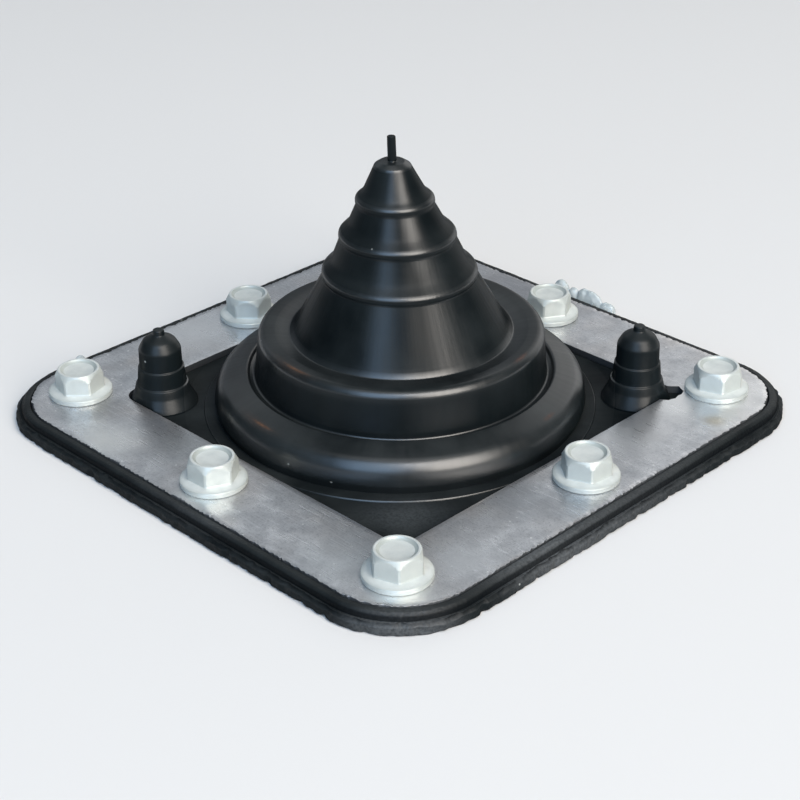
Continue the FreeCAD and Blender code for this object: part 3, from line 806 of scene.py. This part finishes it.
@dataclass(frozen=True)
class RubberBoot:
    """The one-piece moulding: base sheet, rim, roll, drum, stepped cone and the two small cones."""

    around: int = 216
    steps: tuple[MouldedStep, ...] = (
        MouldedStep(14.1, 28.6, 1.9, 2.7), MouldedStep(10.6, 35.7, 1.9, 2.7),
        MouldedStep(7.1, 42.3, 1.4, 2.0),
    )
    tip_level: float = 49.93
    sprue_radius: float = 0.8
    sprue_top: float = 54.5
    # How far the moulding leans towards the picture's right at each level
    lean_levels: tuple[float, ...] = (0.0, 10.0, 18.0, 29.0, 36.0, 43.0, 50.0, 55.0)
    lean_reaches: tuple[float, ...] = (0.0, 0.3, 0.47, 0.245, -0.066, -0.5, -0.9, -1.03)
    # The section from the sheet up: the foot's line, the roll, the groove, the drum and the cone's foot
    foot: tuple[Corner, ...] = (
        Corner(36.5, 2.4), Corner(36.4, 2.65, 0.25), Corner(34.0, 2.65), Corner(34.5, 4.2, 1.0),
        Corner(33.85, 8.1, 4.9), Corner(28.4, 10.0, 1.3), Corner(27.95, 9.3, 0.3),
        Corner(27.0, 8.95, 1.0), Corner(26.15, 18.0, 3.0), Corner(23.2, 17.85, 1.2),
        Corner(20.5, 17.3, 0.4), Corner(19.3, 18.75, 3.0),
    )
    # The section of the hollow inside, from its top down to its mouth
    cavity: tuple[Corner, ...] = (
        Corner(PINHOLE, 47.9), Corner(1.65, 47.9), Corner(5.3, 42.2, 0.6), Corner(8.8, 35.6, 0.6),
        Corner(12.3, 28.45, 0.6), Corner(18.45, 15.75, 0.6), Corner(24.4, 12.9, 0.6),
        Corner(25.5, 7.8, 0.6), Corner(28.4, 7.8, 0.6), Corner(32.05, 4.15, 0.6), Corner(32.05, 0.0),
    )
    # The sheet outside the foot and its underside: half its side, its corners' radius and its level
    sheet_rings: tuple[tuple[float, float, float], ...] = (
        (36.55, 2.95, 2.4), (45.0, 9.0, 2.4), (54.6, 16.0, 2.3), (54.6, 16.0, 0.0), (45.0, 9.0, 0.0),
        (36.55, 4.0, 0.0),
    )
    # Rim round the frame: half its sides and the radius of its corners at the frame's edge
    rim_half: float = 52.65
    rim_corner: float = 14.0
    rim_points: int = 900
    # The rim's section outwards from there: the lip at the bottom and the bead on top
    rim_section: tuple[Corner, ...] = (
        Corner(-2.5, 0.1), Corner(2.9, 0.0, 0.3), Corner(3.3, 0.4, 0.3), Corner(3.3, 1.75, 0.35),
        Corner(2.55, 2.3, 0.3), Corner(1.95, 2.25, 0.2), Corner(1.8, 3.2, 0.4), Corner(1.2, 3.7, 0.4),
        Corner(0.3, 3.74, 0.2), Corner(0.08, 3.4, 0.1), Corner(0.08, 2.5), Corner(-2.5, 2.3),
    )
    # How far the lip's edge draws back in waves, in lumps and where it is torn
    lip_waves: float = 0.36
    lip_lumps: float = 0.3
    lip_tears: float = 0.7
    # How far the bead draws back in lumps, and how far it sinks in waves and in lumps
    bead_lumps: float = 0.12
    bead_waves: float = 0.10
    bead_dips: float = 0.06
    # One cone for a cable and the hollow in it
    cable_section: tuple[Corner, ...] = (
        Corner(PINHOLE, 0.6), Corner(6.4, 0.6), Corner(6.4, 2.7, 0.3), Corner(5.25, 5.0, 2.0),
        Corner(4.85, 6.6, 0.25), Corner(4.55, 6.75, 0.25), Corner(4.25, 9.95, 0.2),
        Corner(3.98, 10.1, 0.2), Corner(3.92, 13.7, 1.6), Corner(3.0, 15.35, 1.8),
        Corner(1.15, 16.35, 0.3), Corner(1.0, 17.35, 0.25), Corner(PINHOLE, 17.35),
    )
    cable_hollow: tuple[Corner, ...] = (
        Corner(PINHOLE, -1.0), Corner(3.75, -1.0), Corner(3.75, 5.5, 0.5), Corner(2.8, 14.0, 0.4),
        Corner(PINHOLE, 15.35),
    )
    cable_foot_top: float = 6.5
    hole_radius: float = 2.85
    cable_reach: float = 31.2
    opening: float = 36.55

    def cone_mesh(self) -> Mesh:
        """Build the sheet, the roll, the drum and the stepped cone with the hollow under them.

        Returns:
            The vertices and the faces.
        """
        corners = list(self.foot)
        for step in self.steps:
            corners += step.corners()
        corners += [
            Corner(3.24, 49.26, 0.5),
            Corner(2.2, self.tip_level, 0.4),
            Corner(self.sprue_radius, self.tip_level, 0.12),
            Corner(self.sprue_radius * 0.94, self.sprue_top, 0.15),
            Corner(PINHOLE, self.sprue_top),
        ]
        outer = section(corners, closed=False)
        inner = section(self.cavity, closed=False, longest=3.0)
        turns = np.linspace(0.0, 2 * math.pi, self.around, endpoint=False)
        rings = [self.ring(turns, point) for point in outer[::-1]]
        # The sheet widens from the round foot to the square base. Its underside comes back to the mouth.
        for half, corner, level in self.sheet_rings:
            rings.append(level_ring(turns, square_reach(turns, half, corner), level))
        rings += [self.ring(turns, point) for point in inner[::-1]]
        return skinned(np.array(rings)[::-1], closed=False)

    def ring(self, turns: Array, point: Array) -> Array:
        """Return a level ring of the cone, moved by the lean at its level."""
        lean = np.interp(point[1], self.lean_levels, self.lean_reaches)
        return level_ring(turns, point[0], point[1]) + lean * np.array(PICTURE_RIGHT)

    def rim_mesh(self) -> Mesh:
        """Build the bead and the sealing lip round the frame, uneven along their edges.

        Returns:
            The vertices and the faces.
        """
        outline = section(self.rim_section, closed=True, arc=22.0, longest=1.0)
        flat = self.rim_half - self.rim_corner
        bend = math.pi / 2 * self.rim_corner
        side = 2 * flat + bend
        rings = []
        for index in range(self.rim_points):
            run = 4 * side * index / self.rim_points
            quarter, along = divmod(run, side)
            if along < 2 * flat:
                foot = Vector((self.rim_half, along - flat, 0.0))
                outward = Vector((1.0, 0.0, 0.0))
            else:
                turn = (along - 2 * flat) / self.rim_corner
                outward = Vector((math.cos(turn), math.sin(turn), 0.0))
                foot = Vector((flat, flat, 0.0)) + outward * self.rim_corner
            spin = Matrix.Rotation(quarter * math.pi / 2, 3, "Z")
            foot, outward = spin @ foot, spin @ outward
            ring = []
            for out, level in outline:
                point = foot + outward * out + Vector((0.0, 0.0, level))
                lip = ramp(out, 1.9, 0.9)
                bead = ramp(level, 2.6, 0.8) * ramp(out, 0.0, 0.4)
                waves = 0.5 + 0.5 * wander(foot, 5.0, 3.0)
                lumps = 0.5 + 0.5 * wander(point, 1.1, 8.0)
                torn = max(0.0, wander(point, 1.7, 12.0))
                drawn = self.lip_waves * waves + self.lip_lumps * lumps + self.lip_tears * torn
                point -= outward * (lip * drawn + bead * self.bead_lumps * lumps)
                point.z -= bead * (self.bead_waves * waves + self.bead_dips * lumps)
                ring.append(point)
            rings.append(ring)
        return skinned(np.array(rings).transpose(1, 0, 2), closed=True)

    def cable_cone_mesh(self, side: int) -> Mesh:
        """Build one small cone, trimmed at the frame's opening.

        Args:
            side: -1 for the one on the picture's left, 1 for the one on its right.

        Returns:
            The vertices and the faces.
        """
        vertices, faces = revolved(section(self.cable_section, closed=False, longest=0.8), 96)
        vertices = vertices + np.array([side * self.cable_reach, side * self.cable_reach, 0.0])
        low = vertices[:, 2] < self.cable_foot_top
        vertices[low, :2] = np.clip(vertices[low, :2], -self.opening, self.opening)
        return vertices, faces

    def cable_hollow_mesh(self, side: int) -> Mesh:
        """Build the hollow of one small cone, for cutting."""
        vertices, faces = revolved(section(self.cable_hollow, closed=False, longest=3.0), 64)
        return vertices + np.array([side * self.cable_reach, side * self.cable_reach, 0.0]), faces

    def hole_mesh(self, x: float, y: float) -> Mesh:
        """Build the round tool that cuts one screw's clearance hole."""
        wall, bottom, top = self.hole_radius, -1.0, 5.0
        outline = np.array([[PINHOLE, bottom], [wall, bottom], [wall, top], [PINHOLE, top]])
        vertices, faces = revolved(outline, 48)
        return vertices + np.array([x, y, 0.0]), faces

    def build(self, places: Sequence[Vector]) -> bpy.types.Object:
        """Build the moulding as one closed mesh.

        Args:
            places: The places of the screws, whose holes go through it.

        Returns:
            The piece.
        """
        tools = [(Joining.ADD, self.rim_mesh())]
        tools += [(Joining.ADD, self.cable_cone_mesh(side)) for side in (-1, 1)]
        tools += [(Joining.CUT, self.cable_hollow_mesh(side)) for side in (-1, 1)]
        tools += [(Joining.CUT, self.hole_mesh(spot.x, spot.y)) for spot in places]
        mesh = worked(self.cone_mesh(), tools)
        return piece("moulded_boot", mesh, MouldedRubber().material())


@dataclass(frozen=True)
class ClampingFrame:
    """The flat aluminium frame, with sheared edges and a ragged notch in one corner of its opening."""

    half: float = 52.65
    corner: float = 14.0
    opening_half: float = 36.6
    opening_corner: float = 3.0
    bottom: float = 2.4
    top: float = 3.8
    edge: float = 0.14
    tooth: float = 0.5
    around: int = 1440
    # The notch's outline, counted from the corner of the opening, and the tool's two levels
    notch: tuple[tuple[float, float], ...] = (
        (-3.0, -3.0), (-0.95, -5.6), (0.5, -4.9), (1.43, -4.2), (1.55, -3.5), (1.9, -2.8), (1.6, -1.6),
        (1.75, -0.7), (1.3, 0.5), (0.4, 0.9), (-0.5, 1.43), (-1.4, 0.5), (-2.8, -0.5),
    )
    notch_levels: tuple[float, float] = (1.0, 5.0)

    def plate_mesh(self) -> Mesh:
        """Build the plate with its burred outer edge.

        Returns:
            The vertices and the faces.
        """
        turns = np.linspace(0.0, 2 * math.pi, self.around, endpoint=False)
        outer = square_reach(turns, self.half, self.corner)
        inner = square_reach(turns, self.opening_half, self.opening_corner)
        teeth = np.zeros_like(outer)
        nibble = np.zeros_like(inner)
        for index, turn in enumerate(turns):
            spot = Vector((outer[index] * math.cos(turn), outer[index] * math.sin(turn), 0.0))
            torn = 0.3 + wander(spot, 0.6, 1.0) + 0.5 * wander(spot, 3.5, 2.0)
            teeth[index] = self.tooth * max(0.0, torn)
            nibble[index] = 0.05 * (1 + wander(spot, 1.5, 5.0))
        profile = (
            (outer - self.edge, self.bottom), (outer, self.bottom + self.edge),
            (outer - teeth * 0.3, self.top - 0.35), (outer - teeth, self.top - 0.02),
            (outer - teeth - 0.03, self.top), (outer - 1.2, self.top),
            (inner + 1.2, self.top), (inner + 0.12 + nibble, self.top),
            (inner + 0.03 + nibble, self.top - 0.03), (inner + nibble, self.top - 0.12),
            (inner, self.bottom + self.edge), (inner + self.edge, self.bottom),
        )
        return skinned(np.array([level_ring(turns, reach, level) for reach, level in profile]), closed=True)

    def notch_mesh(self) -> Mesh:
        """Build the ragged tool that cuts the notch in the opening's far right corner."""
        edge = self.opening_half
        rings = [[(edge + x, edge + y, level) for x, y in self.notch] for level in self.notch_levels]
        return skinned(np.array(rings), closed=False)

    def build(self, places: Sequence[Vector], hole: Callable[[float, float], Mesh]) -> bpy.types.Object:
        """Build the frame with its notch and holes.

        Args:
            places: The places of the screws.
            hole: What builds the tool that cuts one hole.

        Returns:
            The piece.
        """
        tools = [(Joining.CUT, self.notch_mesh())]
        tools += [(Joining.CUT, hole(spot.x, spot.y)) for spot in places]
        mesh = worked(self.plate_mesh(), tools)
        return piece("clamping_frame", mesh, MillAluminium().material())


@dataclass(frozen=True)
class RoofingScrew:
    """A self-drilling screw with a flanged hexagon head. Levels are from the flange's underside."""

    flange: float = 5.9
    across_flats: float = 8.0
    # How much is rounded off each of the hexagon's corners
    corner_worn: float = 0.12
    hexagon_top: float = 4.55
    head_top: float = 5.2
    dish: float = 3.35
    dish_depth: float = 0.55
    neck: float = 2.4
    neck_length: float = 3.8
    thread: float = 2.7
    thread_depth: float = 0.45
    thread_pitch: float = 1.8
    thread_end: float = 18.4
    thread_step: float = 0.15
    length: float = 20.0
    point: float = 0.9
    # The turns of a ring's points over one side of the hexagon, closest together at its corners
    sector: tuple[float, ...] = (-30.0, -29.0, -27.5, -24.0, -16.0, -8.0, 0.0, 8.0, 16.0, 24.0, 27.5, 29.0)
    # The chamfer cone's rings, from its top down to the hexagon's corners
    chamfer: tuple[float, ...] = (3.86, 3.95, 4.02, 4.1, 4.2, 4.3, 4.4, 4.5)

    def ring_turns(self, turn: float) -> Array:
        """Return the turns of the points of a ring, for a head that is turned by some degrees."""
        sectors = [np.array(self.sector) + 60 * side for side in range(6)]
        return np.radians(np.concatenate(sectors) + turn + 30.0)

    def head_rings(self, turn: float) -> list[Array]:
        """Build the rings of the head, from the dish out and down to the flange's underside.

        Args:
            turn: The turn of one corner of the hexagon from +X, in degrees.

        Returns:
            The rings.
        """
        turns = self.ring_turns(turn)
        flat = np.radians(np.tile(self.sector, 6))
        corner = self.across_flats / math.sqrt(3) - self.corner_worn
        hexagon = np.minimum(self.across_flats / 2 / np.cos(flat), corner)
        circle = np.ones_like(turns)
        floor = self.head_top - self.dish_depth
        dished = (
            (PINHOLE, floor + 0.02), (1.2, floor), (2.3, floor), (2.8, floor + 0.06), (3.1, floor + 0.22),
            (self.dish - 0.05, self.head_top - 0.14), (self.dish + 0.04, self.head_top - 0.03),
            (self.dish + 0.16, self.head_top), (3.72, self.head_top),
        )
        rings = [(reach * circle, level) for reach, level in dished]
        # The chamfer cone trims the hexagon's corners, which leaves a scalloped edge on each flat.
        first, last = self.chamfer[0], self.chamfer[-1]
        for reach in self.chamfer:
            drop = (reach - first) / (last - first)
            level = self.head_top - 0.05 - drop * (self.head_top - self.hexagon_top + 0.6)
            rings.append((np.minimum(reach * circle, hexagon), level))
        rings += [(hexagon, 3.6), (hexagon, 2.4), (hexagon, 1.62), (hexagon + 0.1, 1.42)]
        rings.append((np.maximum(hexagon + 0.3, 4.7 * circle), 1.32))
        flange = (
            (5.2, 1.24), (5.6, 1.12), (5.8, 1.02), (self.flange, 0.9), (self.flange, 0.2), (5.8, 0.06),
            (5.68, 0.0), (self.neck, 0.0),
        )
        rings += [(reach * circle, level) for reach, level in flange]
        return [level_ring(turns, reach, level) for reach, level in rings]

    def shank_rings(self, turn: float) -> list[Array]:
        """Build the rings of the neck, the thread and the point.

        Args:
            turn: The turn of the head, so that the rings' points line up with it.

        Returns:
            The rings.
        """
        turns = self.ring_turns(turn)
        rings = []
        threaded = np.arange(self.neck_length, self.thread_end, self.thread_step)
        for depth in (self.neck_length - 0.02, *threaded, self.thread_end):
            phase = (depth / self.thread_pitch - turns / (2 * math.pi)) % 1.0
            ridge = np.clip(1.0 - np.abs(phase - 0.5) * 4.2, 0.0, 1.0)
            fade = ramp(depth, self.neck_length, 0.8)
            reach = self.thread - self.thread_depth * (1 - ridge * fade)
            rings.append((reach, -depth))
        rings += [(self.point, 0.35 - self.length), (PINHOLE, -self.length)]
        return [level_ring(turns, reach, level) for reach, level in rings]

    def build(
        self, node: str, place: Vector, level: float, turn: float, material: bpy.types.Material
    ) -> bpy.types.Object:
        """Build one screw at its place.

        Args:
            node: The CAD node that it stands for.
            place: Its axis.
            level: The level of its flange's underside.
            turn: The turn of its hexagon in degrees.
            material: Its finish.

        Returns:
            The piece.
        """
        rings = np.array(self.head_rings(turn) + self.shank_rings(turn))[::-1]
        vertices, faces = skinned(rings, closed=False)
        mesh = (vertices + np.array([place.x, place.y, level]), faces)
        return piece(node + "_detailed", mesh, material, crease=16.0)


@dataclass(frozen=True)
class SealantBead:
    """Clear sealant pressed out from under the base, built up from soft lumps."""

    name: str
    # Each lump: its place and its half widths
    lumps: tuple[tuple[float, float, float, float, float, float], ...]
    low: tuple[float, float, float]
    high: tuple[float, float, float]
    voxel: float = 0.16
    seed: int = 7
    # How far the noise moves its surface, and the noise's size
    uneven: float = 0.12
    uneven_size: float = 0.9

    def build(self, material: bpy.types.Material) -> bpy.types.Object:
        """Build the lumps as one soft closed mesh that stays inside its CAD node.

        Args:
            material: Its finish.

        Returns:
            The piece.
        """
        # The noise draws its offsets from a fixed seed, so each run gives the same lumps.
        noise.seed_set(self.seed)
        vertices: list[Array] = []
        faces: list[tuple[int, ...]] = []
        for x, y, z, across, deep, tall in self.lumps:
            turns = np.linspace(0.0, math.pi, 15)
            half = np.stack([np.maximum(np.sin(turns), 0.01), -np.cos(turns)], axis=1)
            ball, ball_faces = revolved(half, 24)
            start = sum(len(part) for part in vertices)
            vertices.append(ball * np.array([across, deep, tall]) + np.array([x, y, z]))
            faces += [tuple(corner + start for corner in face) for face in ball_faces]
        shape = placed("lumps", new_mesh("lumps", (np.vstack(vertices), faces)))
        remesh = shape.modifiers.new("merge", "REMESH")
        remesh.mode = "VOXEL"
        remesh.voxel_size = self.voxel
        soften = shape.modifiers.new("soften", "SMOOTH")
        soften.factor = 0.5
        soften.iterations = 4
        points, merged = evaluated(shape)
        bpy.data.objects.remove(shape)
        for index, point in enumerate(points):
            points[index] += self.uneven * np.array(noise.noise_vector(Vector(point) / self.uneven_size))
        return piece(self.name, (np.clip(points, self.low, self.high), merged), material)


def seen_from(turn: float, height: float) -> Vector:
    """Return the direction of a place round the object, its turn counted from the camera's."""
    around = CAMERA_TURN + turn
    level = math.cos(height)
    return Vector((math.sin(around) * level, -math.cos(around) * level, math.sin(height)))


@dataclass(frozen=True)
class Softbox:
    """A soft lamp: its turn from the camera and its height as angles, its distance and its size."""

    name: str
    turn: float
    height: float
    away: float
    width: float
    tall: float
    power: float
    colour: str

    def build(self) -> None:
        """Hang the lamp so that it faces the object."""
        towards = seen_from(math.radians(self.turn), math.radians(self.height))
        lamp = bpy.data.lights.new(self.name, "AREA")
        lamp.shape = "RECTANGLE"
        lamp.size, lamp.size_y = self.width, self.tall
        lamp.energy = self.power
        lamp.color = linear(self.colour)[:3]
        hung = placed(self.name, lamp)
        hung.location = towards * self.away
        hung.rotation_euler = towards.to_track_quat("Z", "Y").to_euler()


@dataclass(frozen=True)
class Studio:
    """The pale floor, the lamps, the surroundings and the camera."""

    softboxes: tuple[Softbox, ...] = (
        Softbox("key_window", 33.0, 38.0, 2.2, 1.4, 2.3, 76.0, "#fff8f0"),
        Softbox("cool_window", -17.0, 38.0, 2.2, 1.3, 2.3, 31.0, "#b4d8ff"),
        Softbox("ceiling_panel", 0.0, 86.0, 2.2, 1.6, 0.9, 3.0, "#ffffff"),
    )
    # The wall behind the object, by height and towards the picture's right
    far_wall_foot: str = "#83888e"
    far_wall_top: str = "#d2d8dc"
    far_wall_right: str = "#ffffff"
    near_wall: str = "#3c4448"
    floor_reach: float = 3.0
    # Where the camera stands: what it looks at and how far away, in millimetres, its height and its roll
    target: tuple[float, float, float] = (-2.615, 2.734, 0.0)
    away: float = 345.78
    height: float = math.radians(29.026)
    roll: float = math.radians(-0.526)
    lens: float = 82.02

    def build(self) -> None:
        """Set up the floor, the world, the lamps and the camera."""
        self.lay_floor()
        self.light_world()
        for softbox in self.softboxes:
            softbox.build()
        self.place_camera()
        bpy.context.scene.view_settings.view_transform = "Standard"

    def lay_floor(self) -> None:
        """Lay the floor under the base, as the roof would be."""
        reach = self.floor_reach / MILLIMETRE
        corners = reach * np.array([[-1.0, -1.0, 0.0], [1.0, -1.0, 0.0], [1.0, 1.0, 0.0], [-1.0, 1.0, 0.0]])
        floor = piece("floor", (corners, [(0, 1, 2, 3)]), PaintedBoard().material())

    def light_world(self) -> None:
        """Make the wall behind the object pale and the rest of the room dim."""
        world = bpy.data.worlds.new("studio_walls")
        bpy.context.scene.world = world
        world.use_nodes = True
        world.node_tree.nodes.clear()
        add = partial(add_node, world.node_tree)
        direction = add("TexCoord", {}, "Generated")
        up = add("SeparateXYZ", {"Vector": direction}, "Z")
        away = (-math.sin(CAMERA_TURN), math.cos(CAMERA_TURN), 0.0)
        beyond = add("VectorMath", {0: direction, 1: away}, "Value", operation="DOT_PRODUCT")
        beside = add(
            "VectorMath", {0: direction, 1: tuple(PICTURE_RIGHT)}, "Value", operation="DOT_PRODUCT"
        )
        # Each ramp's value, and where it starts and ends
        ramps = ((beyond, 0.35, 0.8), (up, 0.9, 0.7), (up, 0.32, 0.62), (beside, 0.02, 0.3))
        behind, low, risen, sideways = (
            add(
                "MapRange", {"Value": value, "From Min": start, "From Max": end},
                interpolation_type="SMOOTHSTEP",
            )
            for value, start, end in ramps
        )
        share = add("Math", {0: behind, 1: low}, operation="MULTIPLY")
        wall = linear(self.far_wall_foot)
        for part, shade in ((risen, self.far_wall_top), (sideways, self.far_wall_right)):
            wall = add("Mix", {0: part, 6: wall, 7: linear(shade)}, 2, data_type="RGBA")
        colour = add("Mix", {0: share, 6: linear(self.near_wall), 7: wall}, 2, data_type="RGBA")
        light = add("Background", {"Color": colour, "Strength": 1.0})
        add("OutputWorld", {"Surface": light})

    def place_camera(self) -> None:
        """Place the camera as the photograph was taken."""
        back = seen_from(0.0, self.height)
        level_right = Vector((0.0, 0.0, 1.0)).cross(back).normalized()
        level_up = back.cross(level_right)
        right = level_right * math.cos(self.roll) + level_up * math.sin(self.roll)
        up = level_up * math.cos(self.roll) - level_right * math.sin(self.roll)
        data = bpy.data.cameras.new("camera")
        data.sensor_width = 36.0
        data.lens = self.lens
        data.clip_start = 0.01
        camera = placed("camera", data)
        spin = Matrix((right, up, back)).transposed().to_4x4()
        where = (Vector(self.target) + back * self.away) * MILLIMETRE
        camera.matrix_world = Matrix.Translation(where) @ spin
        bpy.context.scene.camera = camera


@dataclass
class FlashingBoot:
    """The whole object, built from its pieces around the CAD model."""

    # The turn of each screw's hexagon, in degrees
    turns: dict[str, float] = field(
        default_factory=lambda: {
            "corner_screw_1": -12.7, "corner_screw_2": -41.0,
            "corner_screw_3": -40.0, "corner_screw_4": 10.0,
            "side_screw_1": 2.7, "side_screw_2": -38.0, "side_screw_3": -3.1, "side_screw_4": -16.9,
        }
    )
    frame_top: float = 3.8
    squeeze: SealantBead = SealantBead(
        "sealant_lumps",
        (
            (-8.7, 57.0, 2.6, 1.9, 1.1, 2.1), (-5.4, 57.0, 2.0, 1.5, 1.1, 2.0),
            (-1.1, 57.0, 2.3, 3.3, 1.1, 2.35), (-2.6, 57.0, 2.6, 1.7, 1.1, 2.0),
            (3.6, 57.0, 1.5, 2.1, 1.1, 1.9), (-3.0, 56.9, 1.3, 7.4, 1.0, 1.3),
        ),
        (-10.6, 56.02, 0.2), (5.3, 58.1, 4.7),
    )
    dab: SealantBead = SealantBead(
        "sealant_smear",
        ((-56.7, -31.8, 1.6, 0.7, 1.35, 1.25), (-56.6, -32.6, 1.0, 0.6, 0.7, 0.8)),
        (-57.5, -33.3, 0.2), (-56.02, -30.3, 3.0),
    )

    def axis(self, node: str) -> Vector:
        """Return where a screw's axis stands, in millimetres."""
        low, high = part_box(node)
        return (low + high) / 2 / MILLIMETRE

    def settle(self, made: bpy.types.Object, node: str) -> None:
        """Let a piece stand for a CAD node, and log how many faces it has.

        Args:
            made: The piece.
            node: The CAD node that it replaces.
        """
        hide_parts(node)
        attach(made, BODY)
        log.info("%s stands for %s: %d faces", made.name, node, len(made.data.polygons))

    def build(self) -> None:
        """Build every piece in order."""
        places = [self.axis(node) for node in self.turns]
        boot = RubberBoot()
        self.settle(boot.build(places), "rubber_boot")
        self.settle(ClampingFrame().build(places, boot.hole_mesh), "base_frame")
        plating = PlatedSteel().material()
        for node, turn in self.turns.items():
            made = RoofingScrew().build(node, self.axis(node), self.frame_top, turn, plating)
            self.settle(made, node)
        silicone = ClearSilicone().material()
        self.settle(self.squeeze.build(silicone), "sealant_squeeze")
        self.settle(self.dab.build(silicone), "sealant_dab")


def main() -> None:
    logging.basicConfig(level=logging.INFO, format="%(message)s")
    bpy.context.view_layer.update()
    FlashingBoot().build()
    Studio().build()


if __name__ == "__main__":
    main()
